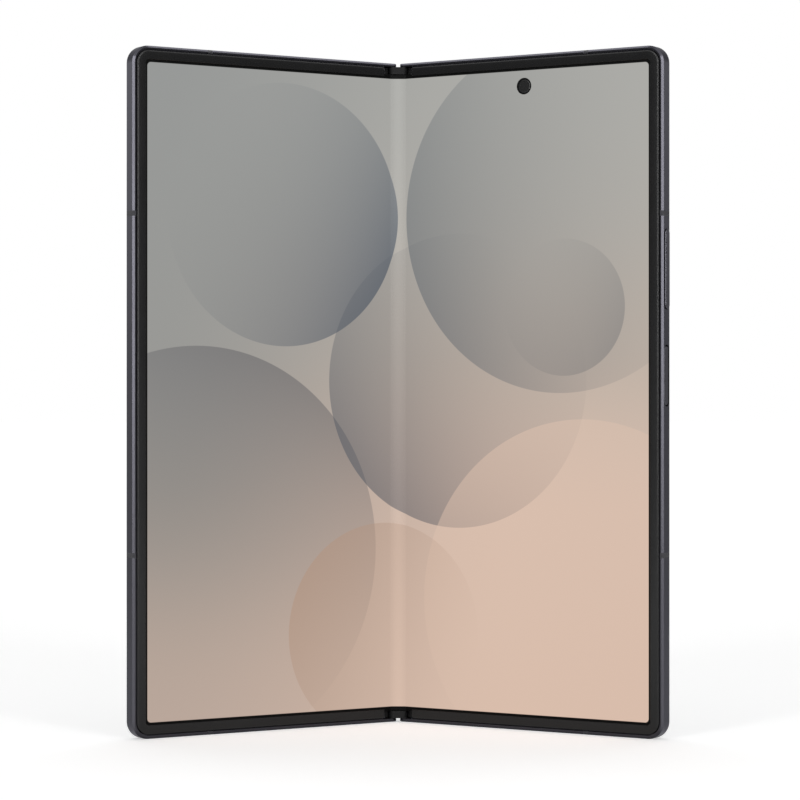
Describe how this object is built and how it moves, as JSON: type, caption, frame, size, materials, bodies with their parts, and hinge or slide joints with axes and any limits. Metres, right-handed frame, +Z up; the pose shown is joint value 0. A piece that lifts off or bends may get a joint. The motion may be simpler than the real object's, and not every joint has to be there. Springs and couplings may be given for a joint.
{
  "type": "book-style foldable smartphone",
  "caption": "Book-style foldable smartphone, half open and standing, with a folding inner display, a geared twin-axis hinge, side keys, a rear camera island and a card tray.",
  "frame": {"origin": "under the hinge, on the surface that the bottom edges stand on, midway between front and back", "axes": "+Z up along the hinge, +X to the right and -Y towards the viewer of the inner display"},
  "size_m": [0.1242, 0.0403, 0.1584],
  "materials": {
    "dark_metal": "anodised, dark blue-grey, satin",
    "key_metal": "anodised, satin",
    "tray_metal": "anodised, satin",
    "rim_plastic": "black, soft, matt",
    "band_plastic": "dark grey, matt",
    "display_screen": "lit picture under a flexible film",
    "dark_glass": "dark, polished",
    "lens_glass": "coated, polished",
    "island_metal": "anodised, polished edge",
    "steel": "plain",
    "screw_steel": "dark plated",
    "circuit_board": "solder mask",
    "battery_wrap": "foil pouch, black wrap",
    "coil_copper": "copper winding",
    "black_plastic": "black",
    "flash_lens": "clear over a pale emitter"
  },
  "bodies": {
    "spine": {"spine_cover": "dark_metal", "upper_end_cap": "rim_plastic", "lower_end_cap": "rim_plastic", "hinge_bases": "steel", "hinge_pins": "steel", "hinge_base_screws": "screw_steel", "inner_display_bend_left": "display_screen", "inner_display_bend_right": "display_screen"},
    "left_half": {"left_frame": "dark_metal", "left_antenna_bands": "band_plastic", "left_rim": "rim_plastic", "inner_display_left": "display_screen", "left_support_plate": "steel", "left_hinge_arms": "steel", "left_hinge_screws": "screw_steel", "cover_glass": "dark_glass", "cover_display": "black_plastic", "left_battery": "battery_wrap", "left_board": "circuit_board", "left_board_screws": "screw_steel", "cover_camera": "black_plastic", "earpiece": "black_plastic", "haptic_motor": "steel", "left_magnets": "steel", "sim_reader": "steel"},
    "right_half": {"right_frame": "dark_metal", "right_antenna_bands": "band_plastic", "right_rim": "rim_plastic", "inner_display_right": "display_screen", "right_support_plate": "steel", "right_hinge_arms": "steel", "right_hinge_screws": "screw_steel", "back_glass": "dark_glass", "camera_island": "island_metal", "camera_rings": "island_metal", "camera_lenses": "lens_glass", "ultrawide_camera": "black_plastic", "main_camera": "black_plastic", "telephoto_camera": "black_plastic", "flash": "flash_lens", "inner_camera": "black_plastic", "right_battery": "battery_wrap", "charging_coil": "coil_copper", "main_board": "circuit_board", "shield_cans": "steel", "right_board_screws": "screw_steel", "usb_board": "circuit_board", "usb_socket": "steel", "loudspeaker": "black_plastic", "top_speaker": "black_plastic", "right_magnets": "steel", "key_switches": "steel"},
    "lower_left_idler": {"lower_idler_gear_left": "steel"},
    "lower_right_idler": {"lower_idler_gear_right": "steel"},
    "upper_left_idler": {"upper_idler_gear_left": "steel"},
    "upper_right_idler": {"upper_idler_gear_right": "steel"},
    "sim_tray": {"sim_tray": "tray_metal"},
    "volume_key": {"volume_key": "key_metal"},
    "power_key": {"power_key": "key_metal"}
  },
  "joints": [
    {"name": "left_fold", "type": "hinge", "parent": "spine", "child": "left_half", "pos_m": [-0.00213, 0.01747, 0], "axis": [0, 0, 1], "range_deg": [-31.8, 58.2], "deforming": ["inner_display_bend_left"]},
    {"name": "right_fold", "type": "hinge", "parent": "spine", "child": "right_half", "pos_m": [0.00213, 0.01747, 0], "axis": [0, 0, 1], "range_deg": [-58.2, 31.8], "deforming": ["inner_display_bend_right"]},
    {"name": "lower_left_idler_spin", "type": "hinge", "parent": "spine", "child": "lower_left_idler", "pos_m": [-0.00071, 0.01747, 0], "axis": [0, 0, 1], "range_deg": [-58.2, 31.8]},
    {"name": "lower_right_idler_spin", "type": "hinge", "parent": "spine", "child": "lower_right_idler", "pos_m": [0.00071, 0.01747, 0], "axis": [0, 0, 1], "range_deg": [-31.8, 58.2]},
    {"name": "upper_left_idler_spin", "type": "hinge", "parent": "spine", "child": "upper_left_idler", "pos_m": [-0.00071, 0.01747, 0], "axis": [0, 0, 1], "range_deg": [-58.2, 31.8]},
    {"name": "upper_right_idler_spin", "type": "hinge", "parent": "spine", "child": "upper_right_idler", "pos_m": [0.00071, 0.01747, 0], "axis": [0, 0, 1], "range_deg": [-31.8, 58.2]},
    {"name": "sim_tray_slide", "type": "slide", "parent": "left_half", "child": "sim_tray", "axis": [0, 0, 1], "range_m": [0, 0.022]},
    {"name": "volume_rock", "type": "hinge", "parent": "right_half", "child": "volume_key", "pos_m": [0.06095, -0.01874, 0.1073], "axis": [-0.527, -0.8499, 0], "range_deg": [-1.2, 1.2], "stiffness_Nm_per_rad": 0.2},
    {"name": "power_press", "type": "slide", "parent": "right_half", "child": "power_key", "axis": [-0.8499, 0.527, 0], "range_m": [0, 0.00015], "stiffness_N_per_m": 4000, "springref_m": -0.0001}
  ],
  "couplings": [
    {"joint": "right_fold", "follows": "left_fold", "ratio": -1},
    {"joint": "lower_left_idler_spin", "follows": "left_fold", "ratio": -1},
    {"joint": "lower_right_idler_spin", "follows": "left_fold", "ratio": 1},
    {"joint": "upper_left_idler_spin", "follows": "left_fold", "ratio": -1},
    {"joint": "upper_right_idler_spin", "follows": "left_fold", "ratio": 1}
  ]
}
